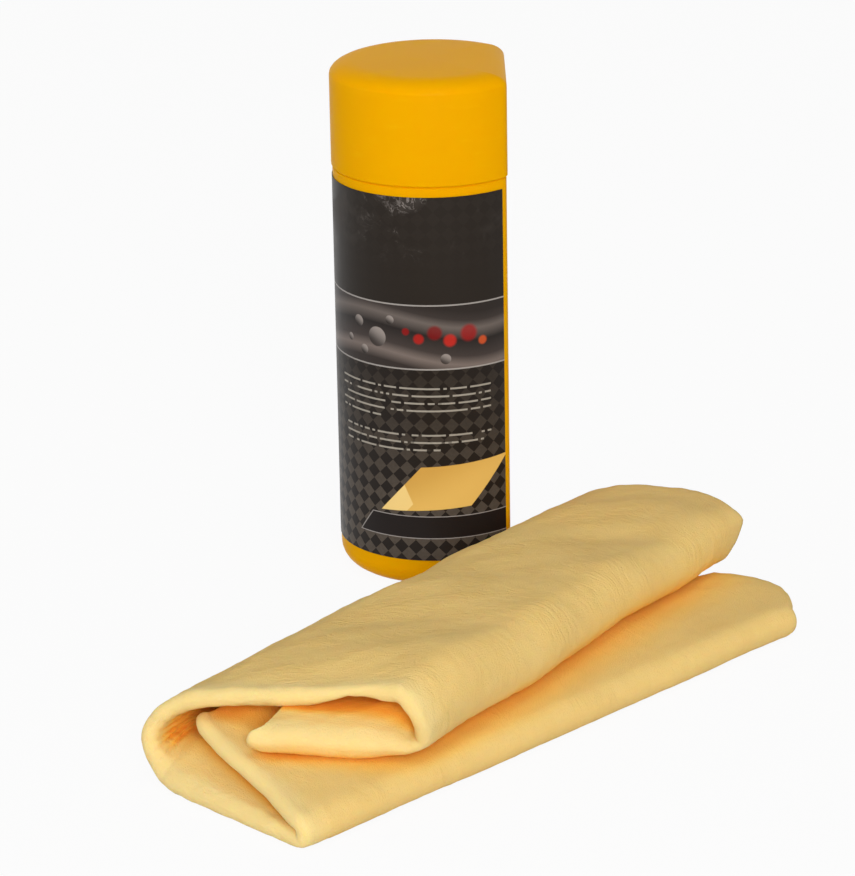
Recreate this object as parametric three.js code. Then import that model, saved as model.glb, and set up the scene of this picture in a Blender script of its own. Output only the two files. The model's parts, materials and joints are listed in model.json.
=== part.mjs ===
// Synthetic chamois cloth with the canister that keeps it damp: a folded sheet, a D-section tube,
// its push-on cap and its wrap label. Millimetres, +Z up. The canister stands at the back with its
// flat side to +X, and the folded cloth lies in front of it. The origin is the middle of the set's
// footprint, on the surface that it stands on.
import * as THREE from 'three';

// Canister body: a round tube cut off by one flat side
const BODY_RADIUS = 33.2;
const FLAT_DISTANCE = 24.7; // from the tube's axis to its flat side
const CORNER_RADIUS = 5; // upright corners beside the flat side
const LEAST_CORNER = 0.5; // for outlines that are set in further than the corner's radius
const BODY_WALL = 1.6;
const SHOULDER_HEIGHT = 141; // the body's visible top, where the cap's rim comes down
const SHOULDER_EDGE = 0.6;
const BASE_EDGE_RADIUS = 7.2;
const BASE_FLOOR = 1.8;
const BASE_RECESS = 1.4; // hollow under the base, inside the ring that it stands on
const STANDING_RING = 5;

// Neck: the thinner spigot that the cap slides over, with a sealing bead round it
const NECK_HEIGHT = 10;
const NECK_WALL = 1.4;
const NECK_BLEND = 4; // height in which the inside widens from the neck to the body
const NECK_EDGE = 0.5;
const BEAD_HEIGHT = 0.5;
const BEAD_WIDTH = 1.6;

// Push-on cap
const CAP_HEIGHT = 35.2;
const CAP_WALL = 1.5;
const CAP_TOP_WALL = 1.8;
const CAP_OVERHANG = 0.4; // how far the cap stands out past the body
const CAP_EDGE_REACH = 9; // how far in from the side the top starts to round off
const CAP_EDGE_DROP = 4.5; // how far down the side the rounding ends
const CAP_RIM_EDGE = 0.4;
const CAP_CLEARANCE = 0.3; // between the sealing bead and the cap
const SEAM_GAP = 0.3; // between the shoulder and the cap's rim

// Label: a thin film round the tube's curved side
const LABEL_BOTTOM = 10.5;
const LABEL_DROP = 3.4; // from the shoulder down to the label's top
const LABEL_THICKNESS = 0.15;
const LABEL_GAP = 0.1;
const LABEL_MARGIN = 0.2; // from the label's ends to the corners beside the flat side

// Cloth: one sheet, doubled by a fold across its length, then folded lengthwise
const CLOTH_LENGTH = 430;
const CLOTH_WIDTH = 320;
const CLOTH_THICKNESS = 2.3;
const PLY_GAP = 0.5; // between the two plies of the doubled sheet
const LAYER_GAP = 0.4; // between one doubled layer and the next
const CREASE_SHARE = 0.047; // share of the width that is lost in creases

// The cloth's place: its front edge is turned from +X, and its back passes in front of the tube
const CLOTH_TURN = THREE.MathUtils.degToRad(43.4);
const CLOTH_GAP = 2.5; // from the cloth's back to the line that touches the tube
const TUBE_ALONG_CLOTH = 191.6; // from the cloth's left end to the tube's axis

// The fold at each end of the doubled cloth. Runs are shares of the cut width. Swings are the
// angles in plan, in degrees, by which a run leans along the cloth.
const LEFT_END = {
  frontStart: -3.8,
  frontFlap: 0.181,
  frontFlapRise: 11.4,
  frontFlapSwing: [11.5, 6],
  tuck: 0, // share of the width that is tucked away at the front flap's corner
  baseRun: 0.176,
  baseSwing: 0,
  air: 9.6, // loose height in the stack of layers
  spineTurn: 140,
  crownRadius: 22.5,
  crownTurn: 34.3,
  spineSwing: [-20, 28.5],
  topRun: 0.194,
  topSwing: 46.7,
  curlLift: 2.8, // height of the front flap under the curl
  innerFlapRise: 9,
  innerFlapSwing: 55.3,
};
const RIGHT_END = {
  frontStart: 3.5,
  frontFlap: 0.13,
  frontFlapRise: 0.5,
  frontFlapSwing: [60, -48],
  tuck: 0.07,
  baseRun: 0.28,
  baseSwing: 5.3,
  air: 7.2,
  spineTurn: 140,
  crownRadius: 23,
  crownTurn: 40,
  spineSwing: [39, 42],
  topRun: 0.127,
  topSwing: -12,
  curlLift: 3,
  innerFlapRise: 2,
  innerFlapSwing: 40,
};
const FRONT_EDGE_EXTRA = 5; // the front edge is longer than half the sheet, which is folded askew

// Facets
const ROUND_FACETS = 44;
const CORNER_FACETS = 4;
const EDGE_FACETS = 7;
const CLOTH_STATIONS = 6;
const ROLL_FACETS = 4;
const FACET_STEPS = 12;
const RUN_FACETS = { flap: 3, frontFold: 5, base: 3, spine: 6, crown: 3, top: 3, curl: 6 };

const plastic = (color) => new THREE.MeshStandardMaterial({ color, roughness: 0.38, metalness: 0 });
const bodyPlastic = plastic('#eba900');
const capPlastic = plastic('#f0b000');
const labelFilm = new THREE.MeshStandardMaterial({ color: '#2f2825', roughness: 0.45, metalness: 0 });
const clothFoam = new THREE.MeshStandardMaterial({ color: '#e6c37c', roughness: 0.95, metalness: 0 });

function geometryFrom(points, triangles) {
  const geometry = new THREE.BufferGeometry();
  geometry.setFromPoints(points);
  geometry.setIndex(triangles);
  geometry.computeVertexNormals();
  return geometry;
}

// Points along an arc, from its start up to but without its end
function arcPoints(centreX, centreY, radius, start, end, facets) {
  const points = [];
  for (let i = 0; i < facets; i += 1) {
    const angle = THREE.MathUtils.lerp(start, end, i / facets);
    const x = centreX + radius * Math.cos(angle);
    const y = centreY + radius * Math.sin(angle);
    points.push(new THREE.Vector2(x, y));
  }
  return points;
}

// Where the flat side's corners turn into the round side, for an outline set in by inset
function cornerOf(inset) {
  const radius = Math.max(CORNER_RADIUS - inset, LEAST_CORNER);
  const x = FLAT_DISTANCE - inset - radius;
  const y = Math.sqrt((BODY_RADIUS - inset - radius) ** 2 - x ** 2);
  return { radius, x, y, angle: Math.atan2(y, x) };
}

// The tube's D-shaped outline, set in by inset, anticlockwise from its flat side
function tubeOutline(inset) {
  const corner = cornerOf(inset);
  const round = [corner.angle, 2 * Math.PI - corner.angle];
  return [
    ...arcPoints(corner.x, corner.y, corner.radius, 0, corner.angle, CORNER_FACETS),
    ...arcPoints(0, 0, BODY_RADIUS - inset, ...round, ROUND_FACETS),
    ...arcPoints(corner.x, -corner.y, corner.radius, -corner.angle, 0, CORNER_FACETS),
    new THREE.Vector2(FLAT_DISTANCE - inset, -corner.y),
  ];
}

// A rounded edge of a wall's section, a quarter of an oval that reaches in and drops down this far,
// as insets and heights, with both ends
function roundEdge(inset, height, reach, drop, start, end) {
  const edge = [];
  for (let i = 0; i <= EDGE_FACETS; i += 1) {
    const angle = THREE.MathUtils.lerp(start, end, i / EDGE_FACETS);
    edge.push([inset + reach * Math.cos(angle), height + drop * Math.sin(angle)]);
  }
  return edge;
}

// A wall swept round the tube's outline. Its section is a list of insets and heights that starts
// and ends in the middle of a closed floor, with the material on the left of the way along it.
function tubeWall(startHeight, section, endHeight) {
  const points = [new THREE.Vector3(0, 0, startHeight)];
  const rings = section.map(([inset, height]) => {
    const first = points.length;
    for (const corner of tubeOutline(inset)) {
      points.push(new THREE.Vector3(corner.x, corner.y, height));
    }
    return first;
  });
  const sides = points.length - rings[rings.length - 1];
  const last = points.push(new THREE.Vector3(0, 0, endHeight)) - 1;
  const triangles = [];
  for (let i = 0; i < sides; i += 1) {
    const next = (i + 1) % sides;
    triangles.push(0, rings[0] + next, rings[0] + i);
    for (let r = 0; r + 1 < rings.length; r += 1) {
      const [low, high] = [rings[r], rings[r + 1]];
      triangles.push(low + i, low + next, high + next);
      triangles.push(low + i, high + next, high + i);
    }
    const end = rings[rings.length - 1];
    triangles.push(end + i, end + next, last);
  }
  return geometryFrom(points, triangles);
}

const capInside = CAP_WALL - CAP_OVERHANG;
const neckInset = capInside + CAP_CLEARANCE + BEAD_HEIGHT;
const neckTop = SHOULDER_HEIGHT + NECK_HEIGHT;
const floorTop = BASE_RECESS + BASE_FLOOR;

function canisterBody() {
  const baseEdge = BASE_EDGE_RADIUS;
  const ringInside = baseEdge + STANDING_RING;
  const floorEdge = baseEdge - BODY_WALL;
  const beadHeight = SHOULDER_HEIGHT + NECK_HEIGHT / 2;
  const neckInside = neckInset + NECK_WALL;
  const neckFoot = SHOULDER_HEIGHT - BODY_WALL;
  const section = [
    [ringInside + BASE_RECESS, BASE_RECESS],
    [ringInside, 0],
    ...roundEdge(baseEdge, baseEdge, baseEdge, baseEdge, -Math.PI / 2, -Math.PI),
    [0, SHOULDER_HEIGHT - SHOULDER_EDGE],
    [SHOULDER_EDGE, SHOULDER_HEIGHT],
    [neckInset, SHOULDER_HEIGHT],
    [neckInset, beadHeight - BEAD_WIDTH / 2],
    [neckInset - BEAD_HEIGHT, beadHeight],
    [neckInset, beadHeight + BEAD_WIDTH / 2],
    [neckInset, neckTop - NECK_EDGE],
    [neckInset + NECK_EDGE, neckTop],
    [neckInside, neckTop],
    [neckInside, neckFoot],
    [BODY_WALL, neckFoot - NECK_BLEND],
    ...roundEdge(baseEdge, floorTop + floorEdge, floorEdge, floorEdge, -Math.PI, -Math.PI / 2),
  ];
  return tubeWall(BASE_RECESS, section, floorTop);
}

function pushCap() {
  const rim = SHOULDER_HEIGHT + SEAM_GAP;
  const top = SHOULDER_HEIGHT + CAP_HEIGHT;
  const inReach = CAP_EDGE_REACH - CAP_WALL;
  const inDrop = CAP_EDGE_DROP - CAP_WALL;
  const edgeInset = CAP_EDGE_REACH - CAP_OVERHANG;
  const edgeFoot = top - CAP_EDGE_DROP;
  const ceiling = top - CAP_TOP_WALL;
  const section = [
    ...roundEdge(edgeInset, ceiling - inDrop, inReach, inDrop, Math.PI / 2, Math.PI),
    [capInside, rim],
    [CAP_RIM_EDGE - CAP_OVERHANG, rim],
    [-CAP_OVERHANG, rim + CAP_RIM_EDGE],
    ...roundEdge(edgeInset, edgeFoot, CAP_EDGE_REACH, CAP_EDGE_DROP, Math.PI, Math.PI / 2),
  ];
  return tubeWall(ceiling, section, top);
}

// The label is a curved plate, drawn as the end of a slice of pipe and extruded upwards
function wrapLabel() {
  const inside = BODY_RADIUS + LABEL_GAP;
  const outside = inside + LABEL_THICKNESS;
  const start = cornerOf(0).angle + LABEL_MARGIN / BODY_RADIUS;
  const end = 2 * Math.PI - start;
  const slice = new THREE.Shape();
  slice.absarc(0, 0, outside, start, end, false);
  slice.absarc(0, 0, inside, end, start, true);
  return new THREE.ExtrudeGeometry(slice, {
    depth: SHOULDER_HEIGHT - LABEL_DROP - LABEL_BOTTOM,
    bevelEnabled: false,
    curveSegments: ROUND_FACETS / 2,
  });
}

const halfLayer = CLOTH_THICKNESS + PLY_GAP / 2;
const plyOffset = (CLOTH_THICKNESS + PLY_GAP) / 2;
const layerStep = 2 * halfLayer + LAYER_GAP;
const radians = THREE.MathUtils.degToRad;

// Values of the fold at a share of the way from the left end to the right end
function foldAt(share) {
  const between = (left, right) => {
    if (Array.isArray(left)) {
      return left.map((value, i) => THREE.MathUtils.lerp(value, right[i], share));
    }
    return THREE.MathUtils.lerp(left, right, share);
  };
  const names = Object.keys(LEFT_END);
  return Object.fromEntries(names.map((name) => [name, between(LEFT_END[name], RIGHT_END[name])]));
}

// Runs of the fold's section on either side of the front fold, each with its length, its turn
// upwards, its swing at start and end, and its facets
function foldRuns(fold) {
  const foldRadius = halfLayer + LAYER_GAP;
  const frontTurn = Math.PI - radians(fold.frontFlapRise);
  const spineTurn = radians(fold.spineTurn);
  const crownTurn = radians(fold.crownTurn);
  const topHeading = spineTurn + crownTurn;
  const crownHeight = halfLayer + 3 * layerStep + fold.air;
  const crownRise = fold.crownRadius * (Math.cos(spineTurn) - Math.cos(topHeading));
  const spineRadius = (crownHeight - halfLayer - crownRise) / (1 - Math.cos(spineTurn));
  const topRun = fold.topRun * CLOTH_WIDTH;
  const flapHeading = 2 * Math.PI + radians(fold.innerFlapRise);
  const flapHeight = halfLayer + 2 * foldRadius + fold.curlLift + layerStep;
  const curlDrop = crownHeight + topRun * Math.sin(topHeading) - flapHeight;
  const curlRadius = curlDrop / (Math.cos(flapHeading) - Math.cos(topHeading));
  const run = (length, turn, swings, facets) => ({ length, turn, swings: swings.map(radians), facets });
  const back = (swings) => swings.map((swing) => -swing);
  const topSwings = [fold.spineSwing[1], fold.topSwing];
  const frontRuns = [
    run(foldRadius * frontTurn, -frontTurn, [0, 0], RUN_FACETS.frontFold),
    run(fold.frontFlap * CLOTH_WIDTH, 0, fold.frontFlapSwing, RUN_FACETS.flap),
  ];
  const backRuns = [
    run(fold.baseRun * CLOTH_WIDTH, 0, [fold.baseSwing, fold.baseSwing], RUN_FACETS.base),
    run(spineRadius * spineTurn, spineTurn, back(fold.spineSwing), RUN_FACETS.spine),
    run(fold.crownRadius * crownTurn, crownTurn, back([topSwings[0], topSwings[0]]), RUN_FACETS.crown),
    run(topRun, 0, back(topSwings), RUN_FACETS.top),
    run(
      curlRadius * (flapHeading - topHeading),
      flapHeading - topHeading,
      back([fold.topSwing, fold.innerFlapSwing]),
      RUN_FACETS.curl,
    ),
  ];
  const used = [...frontRuns, ...backRuns].reduce((sum, { length }) => sum + length, 0);
  const innerFlap = CLOTH_WIDTH * (1 - CREASE_SHARE - fold.tuck) - used;
  const flapSwings = back([fold.innerFlapSwing, fold.innerFlapSwing]);
  backRuns.push(run(innerFlap, 0, flapSwings, RUN_FACETS.flap));
  return { frontRuns, backRuns, foldRadius };
}

// Follows runs from a start point and heading. Each facet's end has its place and its direction.
function followRuns(start, heading, runs) {
  const place = start.clone();
  const steps = [];
  let angle = heading;
  for (const { length, turn, swings, facets } of runs) {
    const count = facets * FACET_STEPS;
    const direction = (share) => {
      const rise = angle + turn * share;
      const swing = THREE.MathUtils.lerp(swings[0], swings[1], share);
      const level = Math.cos(rise);
      return new THREE.Vector3(level * Math.sin(swing), level * Math.cos(swing), Math.sin(rise));
    };
    for (let i = 0; i < count; i += 1) {
      place.addScaledVector(direction((i + 1 / 2) / count), length / count);
      if ((i + 1) % FACET_STEPS === 0) {
        steps.push({ place: place.clone(), along: direction((i + 1) / count) });
      }
    }
    angle += turn;
  }
  return steps;
}

// The middle of the doubled layer at one station, from the front flap's edge to the inner flap's
function foldSection(share) {
  const fold = foldAt(share);
  const { frontRuns, backRuns, foldRadius } = foldRuns(fold);
  const x = share * (CLOTH_LENGTH / 2 + FRONT_EDGE_EXTRA);
  const start = new THREE.Vector3(x, fold.frontStart + foldRadius, halfLayer);
  const front = followRuns(start, Math.PI, frontRuns);
  const turned = front.map(({ place, along }) => ({ place, along: along.clone().negate() }));
  const middle = { place: start, along: new THREE.Vector3(0, 1, 0) };
  return [...turned.reverse(), middle, ...followRuns(start, 0, backRuns)];
}

// One sheet: its outer ply runs from the cut end at the right to the fold at the left, rolls over
// there, and its inner ply runs back to the right. Both skins stand off the middle of the layer.
function chamoisCloth() {
  const stations = [];
  for (let i = 0; i <= CLOTH_STATIONS; i += 1) {
    stations.push(foldSection(i / CLOTH_STATIONS));
  }
  const columns = stations[0].length;
  const frames = stations.map((section, i) => section.map(({ place, along }, j) => {
    const before = stations[Math.max(i - 1, 0)][j].place;
    const after = stations[Math.min(i + 1, CLOTH_STATIONS)][j].place;
    const lengthwise = after.clone().sub(before);
    const out = new THREE.Vector3().crossVectors(along, lengthwise).normalize();
    const endwards = new THREE.Vector3().crossVectors(along, out).normalize();
    return { place, out, endwards };
  }));
  const row = (station, angle, offset) => frames[station].map(({ place, out, endwards }) => (
    place.clone()
      .addScaledVector(out, offset * Math.cos(angle))
      .addScaledVector(endwards, offset * Math.sin(angle))
  ));
  const skin = (offset) => {
    const rows = [];
    for (let i = CLOTH_STATIONS; i > 0; i -= 1) {
      rows.push(row(i, 0, offset));
    }
    for (let k = 0; k <= ROLL_FACETS; k += 1) {
      rows.push(row(0, (Math.PI * k) / ROLL_FACETS, offset));
    }
    for (let i = 1; i <= CLOTH_STATIONS; i += 1) {
      rows.push(row(i, Math.PI, offset));
    }
    return rows;
  };
  const outer = skin(plyOffset + CLOTH_THICKNESS / 2);
  const inner = skin(plyOffset - CLOTH_THICKNESS / 2);
  const points = [...outer.flat(), ...inner.flat()];
  const under = outer.length * columns;
  const triangles = [];
  const quad = (a, b, c, d) => triangles.push(a, c, b, a, d, c);
  for (let r = 0; r + 1 < outer.length; r += 1) {
    const near = r * columns;
    const far = near + columns;
    for (let c = 0; c + 1 < columns; c += 1) {
      quad(near + c, near + c + 1, far + c + 1, far + c);
      quad(under + near + c, under + far + c, under + far + c + 1, under + near + c + 1);
    }
    const end = columns - 1;
    quad(near, far, under + far, under + near);
    quad(far + end, near + end, under + near + end, under + far + end);
  }
  const lastRow = (outer.length - 1) * columns;
  for (let c = 0; c + 1 < columns; c += 1) {
    quad(c + 1, c, under + c, under + c + 1);
    quad(lastRow + c, lastRow + c + 1, under + lastRow + c + 1, under + lastRow + c);
  }
  return geometryFrom(points, triangles);
}

function namedMesh(name, geometry, material) {
  const mesh = new THREE.Mesh(geometry, material);
  mesh.name = name;
  return mesh;
}

const label = namedMesh('printed_label', wrapLabel(), labelFilm);
label.position.z = LABEL_BOTTOM;
const canister = new THREE.Group();
canister.add(namedMesh('canister_body', canisterBody(), bodyPlastic));
canister.add(namedMesh('push_cap', pushCap(), capPlastic), label);

const cloth = namedMesh('chamois_cloth', chamoisCloth(), clothFoam);
cloth.geometry.computeBoundingBox();
const clothBack = cloth.geometry.boundingBox.max.y;
const clothPlace = new THREE.Group();
clothPlace.rotation.z = CLOTH_TURN;
clothPlace.add(cloth);
cloth.position.set(-TUBE_ALONG_CLOTH, -(clothBack + CLOTH_GAP + BODY_RADIUS), 0);

const set = new THREE.Group();
set.add(canister, clothPlace);
const footprint = new THREE.Box3().setFromObject(set, true);
const middle = footprint.getCenter(new THREE.Vector3());
set.position.set(-middle.x, -middle.y, -footprint.min.z);

export default set;
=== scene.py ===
# %% [markdown]
# A synthetic chamois cloth and the canister that keeps it damp. The cloth is a soft foam sheet that
# was doubled across its length and then folded lengthwise. The canister is a D-section tube of
# yellow plastic with a push-on cap and a dark printed label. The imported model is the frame: it has
# the sizes, the places and the bodies that move, and this notebook gives each piece its finish.

# %% Load the frame
import json
import math

import bpy
import numpy as np
from mathutils import Matrix, Vector
from mathutils.bvhtree import BVHTree

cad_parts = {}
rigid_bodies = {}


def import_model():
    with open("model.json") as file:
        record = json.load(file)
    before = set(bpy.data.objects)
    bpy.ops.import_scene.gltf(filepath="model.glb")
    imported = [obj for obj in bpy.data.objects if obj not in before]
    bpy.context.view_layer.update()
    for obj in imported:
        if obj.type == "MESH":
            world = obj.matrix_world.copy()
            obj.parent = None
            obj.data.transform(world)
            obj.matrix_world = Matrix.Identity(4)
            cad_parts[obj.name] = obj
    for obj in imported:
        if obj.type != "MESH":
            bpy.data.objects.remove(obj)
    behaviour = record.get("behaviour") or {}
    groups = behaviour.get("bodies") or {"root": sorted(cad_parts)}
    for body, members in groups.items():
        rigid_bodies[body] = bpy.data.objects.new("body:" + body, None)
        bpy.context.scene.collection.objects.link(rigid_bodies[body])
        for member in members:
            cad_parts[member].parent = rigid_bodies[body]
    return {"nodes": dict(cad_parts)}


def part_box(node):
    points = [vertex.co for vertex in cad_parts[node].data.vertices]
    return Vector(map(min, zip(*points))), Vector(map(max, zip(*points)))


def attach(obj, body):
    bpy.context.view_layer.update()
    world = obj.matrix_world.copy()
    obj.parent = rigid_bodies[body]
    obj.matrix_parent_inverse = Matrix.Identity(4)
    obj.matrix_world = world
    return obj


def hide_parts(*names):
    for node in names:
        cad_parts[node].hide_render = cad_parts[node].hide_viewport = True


bpy.ops.object.select_all(action="SELECT")
bpy.ops.object.delete()
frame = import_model()
bpy.ops.object.select_all(action="DESELECT")
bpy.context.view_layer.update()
nodes = frame["nodes"]

# %% [markdown]
# The canister's axis is the place that everything else is measured from. The tube's round side is
# its lowest X, so the axis lies one radius further, half way between its two Y faces.

# %% Canister axis
TUBE_RADIUS = 0.0332
FLAT_DISTANCE = 0.0247
CORNER_RADIUS = 0.005
body_low, body_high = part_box("canister_body")
axis_x = body_low.x + TUBE_RADIUS
axis_y = (body_low.y + body_high.y) / 2
print("canister axis at", axis_x, axis_y)

# %% [markdown]
# The camera stands well back with a long lens, a little above the pieces, and looks down at them.
# Its place and its angles come from the canister's rims and upright edges in the photograph. The
# lens is given by a focal length in pixels, which Blender wants in millimetres on its sensor.

# %% Camera
CAMERA_DISTANCE = 1.29366
CAMERA_HEIGHT = 0.49630
CAMERA_PITCH = 0.33720
CAMERA_ROLL = -0.01811
CAMERA_YAW = -0.00230
FOCAL_PIXELS = 4000.07
PHOTO_HEIGHT = 876
SENSOR_WIDTH = 36.0

ahead = Vector((
    math.sin(CAMERA_YAW) * math.cos(CAMERA_PITCH),
    math.cos(CAMERA_YAW) * math.cos(CAMERA_PITCH),
    -math.sin(CAMERA_PITCH),
))
level = Vector((math.cos(CAMERA_YAW), -math.sin(CAMERA_YAW), 0.0))
upright = level.cross(ahead)
right = math.cos(CAMERA_ROLL) * level + math.sin(CAMERA_ROLL) * upright
above = math.cos(CAMERA_ROLL) * upright - math.sin(CAMERA_ROLL) * level
bpy.ops.object.camera_add(location=(axis_x, axis_y - CAMERA_DISTANCE, CAMERA_HEIGHT))
camera = bpy.context.object
turn = Matrix((right, above, -ahead)).transposed()
camera.rotation_euler = turn.to_euler()
camera.data.sensor_width = SENSOR_WIDTH
camera.data.lens = SENSOR_WIDTH * FOCAL_PIXELS / PHOTO_HEIGHT
camera.data.clip_end = 30.0
bpy.context.scene.camera = camera
bpy.context.scene.view_settings.view_transform = "Standard"
print("lens of", round(camera.data.lens, 1), "mm")

# %% [markdown]
# Shader maths reads best as plain expressions. Wire wraps one socket of a node tree, and an
# arithmetic expression on wires adds the Math nodes for it. Finish holds a material and has the one
# method that adds any other node: its settings are set first, then its inputs are filled or linked.

# %% Shader helpers
class Wire:
    def __init__(self, finish, socket):
        self.finish = finish
        self.socket = socket

    def maths(self, operation, *others):
        inputs = {0: self}
        inputs.update({place + 1: other for place, other in enumerate(others)})
        return self.finish.node("ShaderNodeMath", {"operation": operation}, inputs).out()

    def __add__(self, other):
        return self.maths("ADD", other)

    def __sub__(self, other):
        return self.maths("SUBTRACT", other)

    def __mul__(self, other):
        return self.maths("MULTIPLY", other)

    def __truediv__(self, other):
        return self.maths("DIVIDE", other)

    def __rsub__(self, other):
        return (self * -1.0).maths("ADD", other)

    __radd__ = __add__
    __rmul__ = __mul__


class Node:
    def __init__(self, finish, node):
        self.finish = finish
        self.node = node

    def out(self, name=0):
        return Wire(self.finish, self.node.outputs[name])


class Finish:
    def __init__(self, name, tree=None):
        if tree is None:
            self.material = bpy.data.materials.new(name)
            self.material.use_nodes = True
            tree = self.material.node_tree
        self.tree = tree
        self.tree.nodes.clear()

    def node(self, kind, settings=None, inputs=None):
        made = self.tree.nodes.new(kind)
        for name, value in (settings or {}).items():
            if name == "stops":
                self.set_stops(made.color_ramp, value)
            else:
                setattr(made, name, value)
        for name, value in (inputs or {}).items():
            if isinstance(value, Wire):
                self.tree.links.new(value.socket, made.inputs[name])
            else:
                made.inputs[name].default_value = value
        return Node(self, made)

    def set_stops(self, ramp, stops):
        while len(ramp.elements) < len(stops):
            ramp.elements.new(1.0)
        for element, (place, colour) in zip(ramp.elements, stops):
            element.position = place
            element.color = colour

    def mix(self, share, first, second):
        settings = {"data_type": "RGBA"}
        return self.node("ShaderNodeMix", settings, {0: share, 6: first, 7: second}).out(2)

    def noise(self, vector, scale, detail=2.0, roughness=0.5, distortion=0.0):
        inputs = {"Vector": vector, "Scale": scale, "Detail": detail}
        inputs.update({"Roughness": roughness, "Distortion": distortion})
        return self.node("ShaderNodeTexNoise", None, inputs).out("Fac")

    def fade(self, value, low, high):
        inputs = {"Value": value, "From Min": low, "From Max": high}
        settings = {"interpolation_type": "SMOOTHSTEP"}
        return self.node("ShaderNodeMapRange", settings, inputs).out()

    def bump(self, height, distance, strength=1.0):
        inputs = {"Height": height, "Distance": distance, "Strength": strength}
        return self.node("ShaderNodeBump", None, inputs).out()

    def surface(self, shader):
        self.node("ShaderNodeOutputMaterial", None, {"Surface": shader})
        return self.material


def rgb(red, green, blue):
    """A screen colour, 0 to 255, as the linear colour that Blender works in."""
    def linear(level):
        share = level / 255
        return share / 12.92 if share <= 0.04045 else ((share + 0.055) / 1.055) ** 2.4
    return (linear(red), linear(green), linear(blue), 1.0)


print("shader helpers ready")

# %% [markdown]
# The stage is a plain pale floor that runs out of sight, under soft light. The photograph's light
# comes mostly from the camera's side, because fronts are brighter than tops, so the key lamp stands
# just above the camera. A weaker lamp from overhead lights the tops, one at the left lifts the edge
# of the round wall, and the sky is dim. Where they are seen, floor and sky are close to white, and
# the floor keeps the soft shadow under each piece.

# %% Stage and light
WHITE = (1, 1, 1, 1)
FLOOR_SIZE = 12.0
FLOOR_GREY = (0.74, 0.74, 0.74, 1)
FLOOR_GLOW = 0.93
SKY_STRENGTH = 0.36
LAMP_AIM = Vector((0, 0, 0.05))
LAMPS = (
    ("key_lamp", (0.22, -2.95, 1.25), 1.3, 69.0),
    ("top_lamp", (0.3, -0.83, 3.14), 1.1, 14.0),
    ("left_lamp", (-3.1, -0.2, 0.6), 1.1, 13.0),
)


def seen_white(finish):
    """1 for the rays that see the stage: the camera's own, mirrored ones and those through glass."""
    ray = finish.node("ShaderNodeLightPath")
    mirrored = ray.out("Is Camera Ray").maths("MAXIMUM", ray.out("Is Glossy Ray"))
    return mirrored.maths("MAXIMUM", ray.out("Is Transmission Ray"))


bpy.ops.mesh.primitive_plane_add(size=FLOOR_SIZE, location=(0, 0, 0))
floor = bpy.context.object
floor.name = "floor"
paper = Finish("pale_floor")
matt = paper.node("ShaderNodeBsdfDiffuse", None, {"Color": FLOOR_GREY}).out()
glow = paper.node("ShaderNodeEmission", None, {"Color": WHITE, "Strength": 1.0}).out()
shares = {0: seen_white(paper) * FLOOR_GLOW, 1: matt, 2: glow}
floor.data.materials.append(paper.surface(paper.node("ShaderNodeMixShader", None, shares).out()))

world = bpy.data.worlds.new("studio")
bpy.context.scene.world = world
world.use_nodes = True
sky = Finish("studio", world.node_tree)
strength = seen_white(sky) * (1.0 - SKY_STRENGTH) + SKY_STRENGTH
light = sky.node("ShaderNodeBackground", None, {"Color": WHITE, "Strength": strength})
sky.node("ShaderNodeOutputWorld", None, {"Surface": light.out()})

for name, place, size, watts in LAMPS:
    bpy.ops.object.light_add(type="AREA", location=place)
    lamp = bpy.context.object
    lamp.name = name
    lamp.data.size = size
    lamp.data.energy = watts
    lamp.rotation_euler = (LAMP_AIM - Vector(place)).to_track_quat("-Z", "Y").to_euler()
print("floor, sky and", len(LAMPS), "lamps set")

# %% [markdown]
# The canister and its cap are moulded in one yellow polypropylene: satin, slightly translucent,
# with a fine skin from the mould, faint flow clouding and the odd rub mark. The colour clouds and
# the roughness come from noise on object coordinates, so they stay with the plastic.

# %% Yellow plastic
def yellow_plastic():
    skin = Finish("yellow_plastic")
    place = skin.node("ShaderNodeTexCoord").out("Object")
    clouds = skin.noise(place, 28.0, 3.0, 0.5)
    flow = skin.node("ShaderNodeMapping", None, {"Vector": place, "Scale": (90, 90, 420)}).out()
    rubs = skin.fade(skin.noise(flow, 1.0, 4.0, 0.6), 0.56, 0.78)
    specks = skin.fade(skin.noise(place, 900.0, 1.0, 0.5), 0.68, 0.8)
    colour = skin.mix(clouds, rgb(238, 161, 0), rgb(246, 170, 0))
    colour = skin.mix(rubs * 0.10, colour, rgb(255, 204, 40))
    colour = skin.mix(specks * 0.05, colour, rgb(205, 136, 0))
    grain = skin.noise(place, 2600.0, 2.0, 0.6)
    normal = skin.bump(grain + rubs * 0.6, 0.00003, 0.35)
    inputs = {
        "Base Color": colour,
        "Roughness": clouds * 0.10 + rubs * 0.10 + 0.27,
        "Normal": normal,
        "Specular IOR Level": 0.01,
        "Subsurface Weight": 0.4,
        "Subsurface Radius": (0.006, 0.003, 0.0006),
        "Subsurface Scale": 1.0,
    }
    return skin.surface(skin.node("ShaderNodeBsdfPrincipled", None, inputs).out())


plastic = yellow_plastic()
print("plastic ready")

# %% [markdown]
# A CAD node comes in as loose flat triangles, so a curved wall would show its facets. A copy of it is
# merged, its triangles are joined into quads, and it is shaded smooth up to an angle, which keeps
# the crisp edges of the rim and the neck. The cap's rim then comes down a little, because the seam
# of the real one is a finer line than the gap between the solids.

# %% Smooth copies of the canister's pieces
MERGE_DISTANCE = 0.000002
SMOOTH_ANGLE = math.radians(34)
RIM_EDGE = 0.0006
SEAM_CLOSE = 0.00024


def edit_all(piece):
    bpy.ops.object.select_all(action="DESELECT")
    piece.select_set(True)
    bpy.context.view_layer.objects.active = piece
    bpy.ops.object.mode_set(mode="EDIT")
    bpy.ops.mesh.select_all(action="SELECT")


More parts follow.
